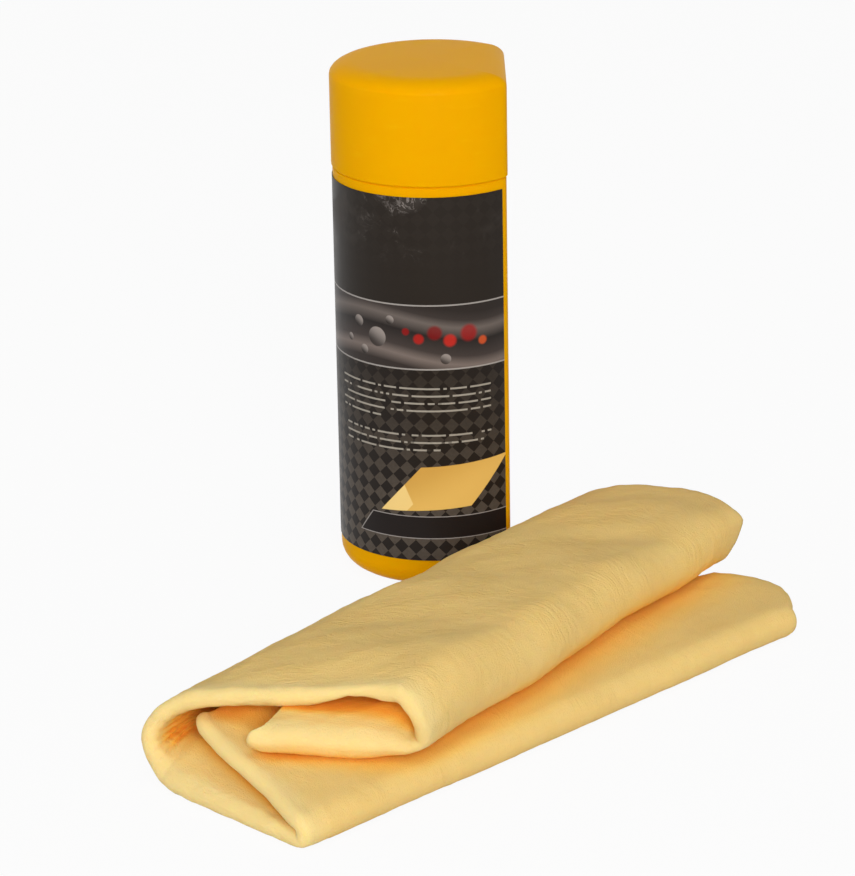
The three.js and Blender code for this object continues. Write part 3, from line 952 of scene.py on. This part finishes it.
def row(station, angle, side):
    """One row of the upper skin (side 1) or the hidden one (side -1), with its sheet coordinates."""
    distance = far[station]
    width = sheet_across[station]
    length = (angle - QUARTER) * half_layer + distance * (1 if angle > QUARTER else -1)
    lengths = np.full_like(width, length)
    inner = (1 - math.cos(angle)) / 2
    offset = (ply_offset + side * CLOTH_THICKNESS / 2 * edge[station]) * puff[station]
    if side > 0:
        ripple = waves("ripple", width, lengths) + waves("ripple_fine", width, lengths * RIPPLE_STRETCH)
        offset = offset + ripple * ripple_share * edge[station] + inner * inside_creases(distance)
    offset = offset - (1 - inner) * (1 - rounded(span - distance, half_layer)) * END_CLOSE
    turned = math.cos(angle) * out[station] + math.sin(angle) * endwards[station]
    place = uneven[station] + offset[:, None] * turned
    inwards = distance + ROLL_RADIUS * (1 - math.sin(angle))
    settled = ramp(inwards, 0.0, FILL_REACH) * (1 - ramp(distance, *FILL_FADES)) * (angle >= QUARTER)
    place[:, 2] += settled * fill + (1 - inner) * tucked[station]
    place[:, 0] -= inner * END_CLOSE * ramp(distance, span - CLOSE_REACH, span)
    ply_step = PLY_STEPS[0 if angle < QUARTER else 1]
    pull = ply_step * (1 - math.sin(angle)) * math.exp(-distance / PLY_REACH)
    from_width = width - pull * ramp(width, width[-1] - EDGE_PULL, width[-1])
    place = np.stack([np.interp(from_width, width, place[:, axis]) for axis in range(3)], axis=1)
    return place, np.stack([width, lengths], axis=1)


def skin(side):
    made = [row(station, 0.0, side) for station in range(last, 0, -1)]
    made += [row(0, angle, side) for angle in turns]
    made += [row(station, math.pi, side) for station in range(1, last + 1)]
    return np.array([places for places, flat in made]), np.array([flat for places, flat in made])


print(2 * last + len(turns), "rows to a skin")

# %% [markdown]
# Two such grids, joined along their rims, make one closed sheet. It is turned and set down in front of
# the canister, and its flat coordinates become a map, so the finish knows where it is on the cut.

# %% Cloth mesh
FLOOR_CLEAR = 0.02
MAP_MARGIN = np.array([0.02, 0.5])
upper, upper_flat = skin(1)
under, under_flat = skin(-1)
rows, columns = upper.shape[:2]
points = np.concatenate([upper.reshape(-1, 3), under.reshape(-1, 3)])
flat_points = np.concatenate([upper_flat.reshape(-1, 2), under_flat.reshape(-1, 2)])
points[:, 2] = np.maximum(points[:, 2], FLOOR_CLEAR)
index = np.arange(rows * columns).reshape(rows, columns)
hidden = index + rows * columns


def quads(a, b, c, d):
    return np.stack([a.ravel(), d.ravel(), c.ravel(), b.ravel()], axis=1)


faces = np.concatenate([
    quads(index[:-1, :-1], index[:-1, 1:], index[1:, 1:], index[1:, :-1]),
    quads(hidden[:-1, :-1], hidden[1:, :-1], hidden[1:, 1:], hidden[:-1, 1:]),
    quads(index[:-1, 0], index[1:, 0], hidden[1:, 0], hidden[:-1, 0]),
    quads(index[1:, -1], index[:-1, -1], hidden[:-1, -1], hidden[1:, -1]),
    quads(index[0, 1:], index[0, :-1], hidden[0, :-1], hidden[0, 1:]),
    quads(index[-1, :-1], index[-1, 1:], hidden[-1, 1:], hidden[-1, :-1]),
])
turned_x = points[:, 0] + CLOTH_FROM_AXIS[0]
turned_y = points[:, 1] + CLOTH_FROM_AXIS[1]
placed = np.stack([
    axis_x + (turned_x * math.cos(CLOTH_TURN) - turned_y * math.sin(CLOTH_TURN)) / 1000,
    axis_y + (turned_x * math.sin(CLOTH_TURN) + turned_y * math.cos(CLOTH_TURN)) / 1000,
    points[:, 2] / 1000,
], axis=1)
cloth_mesh = bpy.data.meshes.new("folded_cloth")
cloth_mesh.from_pydata(placed.tolist(), [], faces.tolist())
cloth_mesh.update()
cloth = bpy.data.objects.new("folded_cloth", cloth_mesh)
bpy.context.scene.collection.objects.link(cloth)
sheet_map = cloth_mesh.uv_layers.new(name="sheet")
corners = np.empty(len(cloth_mesh.loops), dtype=np.int32)
cloth_mesh.loops.foreach_get("vertex_index", corners)
flat_share = flat_points / np.array([CLOTH_WIDTH, CLOTH_LENGTH]) + MAP_MARGIN
sheet_map.data.foreach_set("uv", flat_share[corners].ravel().astype(np.float32))
bpy.ops.object.select_all(action="DESELECT")
cloth.select_set(True)
bpy.context.view_layer.objects.active = cloth
bpy.ops.object.shade_smooth()
print("cloth of", len(cloth_mesh.polygons), "faces, highest point", round(points[:, 2].max(), 1), "mm")

# %% [markdown]
# Foam lets light through, and its folds glow orange instead of going dark. Here that glow is painted:
# the folds get painted shade and light, a deeper orange in the colour itself, set by how deep a spot
# lies. That depth is measured with rays: from each spot some are cast over its open side, and how soon
# they meet the cloth again, within a few centimetres, gives its depth. Every second spot is measured,
# and the ones between are filled in.

# %% Depth in the folds
RAY_COUNT = 40
RAY_REACH = 0.045
RAY_START = 0.0004
RAY_SEED = 31
SPOT_STEP = 2
SMOOTHINGS = 2
draw = np.random.default_rng(RAY_SEED)
tall = np.sqrt(draw.uniform(0, 1, RAY_COUNT))
spin = draw.uniform(0, 2 * math.pi, RAY_COUNT)
flat_part = np.sqrt(1 - tall ** 2)
rays = np.stack([flat_part * np.cos(spin), flat_part * np.sin(spin), tall], axis=1)
tree = BVHTree.FromPolygons(placed.tolist(), faces.tolist())
grid = placed[:rows * columns].reshape(rows, columns, 3)
row_picks = np.unique(np.append(np.arange(0, rows, SPOT_STEP), rows - 1))
column_picks = np.unique(np.append(np.arange(0, columns, SPOT_STEP), columns - 1))
outwards = unit(np.cross(np.gradient(grid, axis=0), np.gradient(grid, axis=1)))
sideways = unit(np.gradient(grid, axis=1))
depth = np.zeros((len(row_picks), len(column_picks)))
for row_number, row_at in enumerate(row_picks):
    for column_number, column_at in enumerate(column_picks):
        normal = outwards[row_at, column_at]
        side = sideways[row_at, column_at]
        axes = np.stack([side, np.cross(normal, side), normal])
        start = Vector(grid[row_at, column_at] + normal * RAY_START)
        gaps = [tree.ray_cast(start, Vector(ray), RAY_REACH)[3] for ray in rays @ axes]
        nearness = sum(1 - gap / RAY_REACH for gap in gaps if gap is not None)
        depth[row_number, column_number] = nearness / RAY_COUNT
by_row = np.array([np.interp(np.arange(columns), column_picks, depths) for depths in depth])
by_both = np.stack([np.interp(np.arange(rows), row_picks, depths) for depths in by_row.T], axis=1)
for _ in range(SMOOTHINGS):
    padded = np.pad(by_both, 1, mode="edge")
    around = padded[:-2, 1:-1] + padded[2:, 1:-1] + padded[1:-1, :-2] + padded[1:-1, 2:]
    by_both = (around + 2 * by_both) / 6
print("depth measured at", depth.size, "spots")

# %% [markdown]
# The depth becomes a map of painted light and shade. Light comes in at the open left end, so there only
# the deepest spots count, and further in the shallow ones count more. The nose of the roll and the inner
# flap get the most painted glow. The rims of the open end come out below zero, which the finish turns
# into a lighter colour, a painted highlight where the rims face the light. The result is kept with the
# mesh.

# %% Light in the folds
OPEN_DEPTH = 0.45
OPEN_REACH = 30.0
CLOSED_POWER = 0.5
OPEN_POWER = 1.1
INNER_GLOW = 0.5
GLOW_RUNS = (6.6, 7.0)
NOSE_GLOW = 0.5
GLOW_AT = (146.0, 16.0)
END_LIGHT = 0.6
END_LIGHT_REACH = 4.5
RIM_PAINTED_LIGHT = 0.25
RIM_REACH = 6.0
row_far = np.concatenate([far[:0:-1], np.zeros(len(turns)), far[1:]])
lit_through = INNER_GLOW * ramp(run_place, *GLOW_RUNS) + NOSE_GLOW * bell(left_across, *GLOW_AT)
lit_through = lit_through[None, :] * (np.arange(rows) > last)[:, None]
lit_direct = END_LIGHT * np.exp(-row_far / END_LIGHT_REACH)[:, None]
# painted glow in the folds: more at the nose and the inner flap, less at the lit left end
by_both = by_both * (1 + lit_through) * (1 - lit_direct)
power = CLOSED_POWER + OPEN_POWER * np.exp(-row_far / OPEN_REACH)
by_both = np.minimum(OPEN_DEPTH * (by_both / OPEN_DEPTH) ** power[:, None], 1.0)
# painted highlight: the rims of the open end get a lighter colour
painted_rim_light = RIM_PAINTED_LIGHT * np.exp(-row_far / RIM_REACH)[:, None]
by_both = by_both - painted_rim_light * np.clip(1 - by_both / RIM_PAINTED_LIGHT, 0, 1)
# the map of painted light and shade in the folds is kept with the mesh
fold_depth = cloth_mesh.attributes.new("fold_depth", "FLOAT", "POINT")
both_skins = np.concatenate([by_both.ravel(), by_both.ravel()])
fold_depth.data.foreach_set("value", both_skins.astype(np.float32))
print("fold depth from", round(by_both.min(), 2), "to", round(by_both.max(), 2))

# %% [markdown]
# The chamois is matt and soft, a cream-yellow foam with a skin of very fine wrinkles that run across
# the sheet. Light goes a little way into it, which warms its folds. The wrinkles are noise stretched
# on the sheet's own map, so they follow every fold, and they are calmer on the front flap and near
# the curl. The colour also carries painted light and shade from the fold map: a painted highlight
# makes the rims of the open end pale, and painted shade and glow take the folds to a deep orange.

# %% Chamois
def chamois():
    foam = Finish("chamois")
    sheet = foam.node("ShaderNodeUVMap", {"uv_map": "sheet"}).out()
    in_millimetres = {"Vector": sheet, "Scale": (CLOTH_WIDTH, CLOTH_LENGTH, 1)}
    flat = foam.node("ShaderNodeMapping", None, in_millimetres).out()
    parts = foam.node("ShaderNodeSeparateXYZ", None, {0: flat})
    arcs = foam.noise(flat, 0.04, 2.0, 0.5) * 13.0 + foam.noise(flat, 0.16, 2.0, 0.5) * 2.6
    stretched = {0: parts.out("X") * 0.19, 1: parts.out("Y") * 0.62 + arcs}
    bent = foam.node("ShaderNodeCombineXYZ", None, stretched).out()
    front_calm = foam.fade(parts.out("X"), 60.0, 120.0) * 0.5 + 0.5
    top_calm = 1 - foam.fade(parts.out("X"), 205.0, 240.0) * 0.4
    patches = foam.fade(foam.noise(flat, 0.05, 3.0, 0.6), 0.36, 0.68) * 0.8 + 0.25
    patches = patches * (front_calm * top_calm)
    wrinkles = foam.noise(bent, 1.0, 3.0, 0.55, 0.5)
    pores = foam.noise(flat, 2.2, 3.0, 0.6)
    mottle = foam.noise(flat, 0.06, 4.0, 0.6)
    colour = foam.mix(mottle, rgb(238, 198, 121), rgb(246, 209, 133))
    colour = foam.mix(wrinkles * patches * 0.5, colour, rgb(226, 178, 95))
    depth = foam.node("ShaderNodeAttribute", {"attribute_name": "fold_depth"}).out("Fac")
    # painted light and shade: a lighter colour on the rims, then deeper orange further into the folds
    colour = foam.mix(foam.fade(depth * -1.0, 0.0, RIM_PAINTED_LIGHT), colour, rgb(246, 215, 144))
    colour = foam.mix(foam.fade(depth, 0.05, 0.4), colour, rgb(246, 201, 113))
    colour = foam.mix(foam.fade(depth, 0.2, 0.65), colour, rgb(252, 188, 83))
    colour = foam.mix(foam.fade(depth, 0.52, 0.98), colour, rgb(254, 166, 58))
    dents = foam.noise(flat, 0.11, 2.0, 0.5)
    height = wrinkles * patches * 1.3 + pores * 0.55 + dents * 0.6
    inputs = {
        "Base Color": colour,
        "Roughness": pores * 0.1 + 0.82,
        "Normal": foam.bump(height, 0.0008, 0.8),
        "Specular IOR Level": 0.1,
        "Subsurface Weight": 0.3,
        "Subsurface Radius": (0.005, 0.002, 0.0006),
        "Subsurface Scale": 1.0,
    }
    return foam.surface(foam.node("ShaderNodeBsdfPrincipled", None, inputs).out())


cloth_mesh.materials.append(chamois())
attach(cloth, "cloth")
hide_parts("chamois_cloth")
